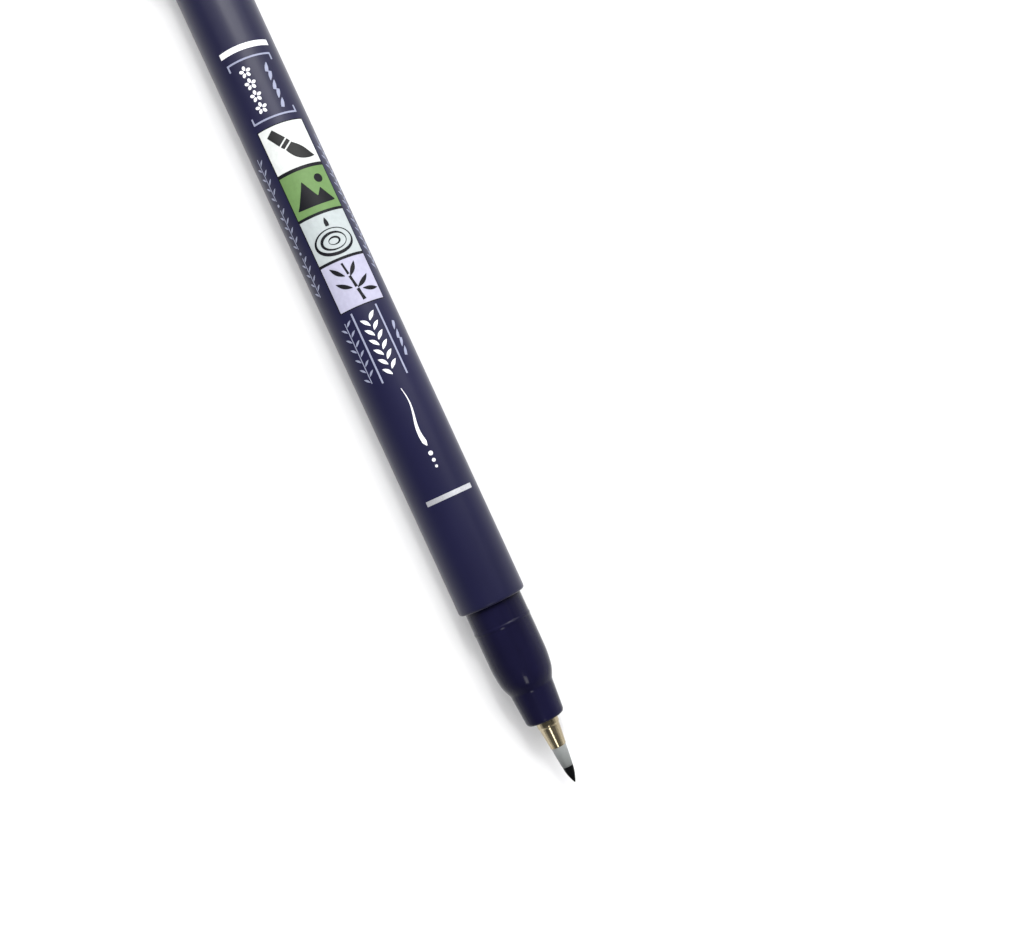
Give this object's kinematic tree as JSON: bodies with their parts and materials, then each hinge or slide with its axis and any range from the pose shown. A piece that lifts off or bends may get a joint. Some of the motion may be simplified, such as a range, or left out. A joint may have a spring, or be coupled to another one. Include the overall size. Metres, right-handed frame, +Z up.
{
  "type": "brush pen",
  "caption": "Slim round brush pen for lettering: tapered grip, metal ferrule, short flexible felt nib, and a clip cap pushed onto its tail.",
  "frame": {"origin": "middle of the footprint, on the surface the pen lies on, with the cap pushed onto the tail", "axes": "+X along the pen towards the nib's point, +Z up from the surface, the clip low on the -Y side"},
  "size_m": [0.1592, 0.013, 0.0098],
  "materials": {
    "navy_body": "satin navy, very finely textured",
    "navy_gloss": "polished dark navy",
    "bronze_metal": "polished champagne bronze plating",
    "white_moulding": "natural white moulding",
    "grey_elastomer": "smoky translucent elastomer",
    "inked_felt": "felt soaked with black ink",
    "ink_fibre": "bundled fibre soaked with ink",
    "clear_film": "clear wrap film"
  },
  "bodies": {
    "pen": {"barrel": "navy_body", "grip_section": "navy_gloss", "nib_ferrule": "bronze_metal", "nib_holder": "white_moulding", "feed_rod": "inked_felt", "ink_reservoir": "ink_fibre", "reservoir_film": "clear_film", "tail_plug": "navy_body"},
    "nib": {"nib_sleeve": "grey_elastomer", "nib_core": "inked_felt"},
    "cap": {"cap_shell": "navy_body", "cap_liner": "white_moulding", "cap_crown": "navy_body"},
    "clip": {"cap_clip": "navy_body"}
  },
  "joints": [
    {"name": "cap_pull", "type": "slide", "parent": "pen", "child": "cap", "axis": [-1, 0, 0], "range_m": [0, 0.03]},
    {"name": "clip_flex", "type": "hinge", "parent": "cap", "child": "clip", "pos_m": [-0.07687, -0.00291, 0.00307], "axis": [0, 0.3744, -0.9273], "range_deg": [0, 8], "stiffness_Nm_per_rad": 1.6},
    {"name": "nib_flex", "type": "hinge", "parent": "pen", "child": "nib", "pos_m": [0.07405, 0.00163, 0.0049], "axis": [0, 1, 0], "range_deg": [-12, 12], "stiffness_Nm_per_rad": 0.015}
  ]
}
